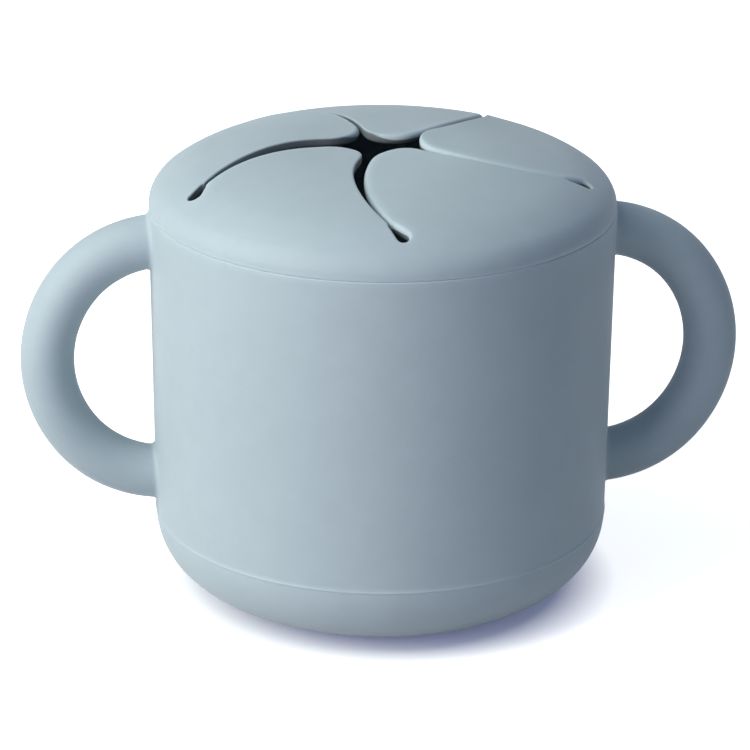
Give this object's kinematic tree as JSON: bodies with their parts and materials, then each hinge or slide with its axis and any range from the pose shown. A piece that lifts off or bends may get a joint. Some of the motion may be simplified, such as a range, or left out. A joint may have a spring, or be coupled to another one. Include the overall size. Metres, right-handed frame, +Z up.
{
  "type": "toddler snack container",
  "caption": "Round silicone snack cup with two loop handles and a press-in domed lid whose swirling slit petals let a small hand reach in and then spring shut.",
  "frame": {"origin": "middle of the base, on the surface the cup stands on", "axes": "+Z up through the middle of the lid; the handles lie along X, right_handle at +X; +Y to the back"},
  "size_m": [0.125, 0.08, 0.0796],
  "materials": {
    "cup_silicone": "matte dusty grey-blue food-grade silicone",
    "lid_silicone": "matte dusty grey-blue food-grade silicone, slightly softer grade"
  },
  "bodies": {
    "cup": {"cup": "cup_silicone", "left_handle": "cup_silicone", "right_handle": "cup_silicone"},
    "lid": {"lid": "lid_silicone"},
    "petal_1": {"petal_1": "lid_silicone"},
    "petal_2": {"petal_2": "lid_silicone"},
    "petal_3": {"petal_3": "lid_silicone"},
    "petal_4": {"petal_4": "lid_silicone"},
    "petal_5": {"petal_5": "lid_silicone"}
  },
  "joints": [
    {"name": "lid_lift", "type": "slide", "parent": "cup", "child": "lid", "axis": [0, 0, 1], "range_m": [0, 0.06]},
    {"name": "petal_1_flex", "type": "hinge", "parent": "lid", "child": "petal_1", "pos_m": [0.01551, -0.02257, 0.07671], "axis": [-0.8241, -0.5664, 0], "range_deg": [-40, 60], "stiffness_Nm_per_rad": 0.02},
    {"name": "petal_2_flex", "type": "hinge", "parent": "lid", "child": "petal_2", "pos_m": [0.02626, 0.00778, 0.07671], "axis": [0.284, -0.9588, 0], "range_deg": [-40, 60], "stiffness_Nm_per_rad": 0.02},
    {"name": "petal_3_flex", "type": "hinge", "parent": "lid", "child": "petal_3", "pos_m": [0.00072, 0.02738, 0.07671], "axis": [0.9997, -0.0262, 0], "range_deg": [-40, 60], "stiffness_Nm_per_rad": 0.02},
    {"name": "petal_4_flex", "type": "hinge", "parent": "lid", "child": "petal_4", "pos_m": [-0.02582, 0.00914, 0.07671], "axis": [0.3338, 0.9426, 0], "range_deg": [-40, 60], "stiffness_Nm_per_rad": 0.02},
    {"name": "petal_5_flex", "type": "hinge", "parent": "lid", "child": "petal_5", "pos_m": [-0.01668, -0.02173, 0.07671], "axis": [-0.7934, 0.6088, 0], "range_deg": [-40, 60], "stiffness_Nm_per_rad": 0.02}
  ]
}
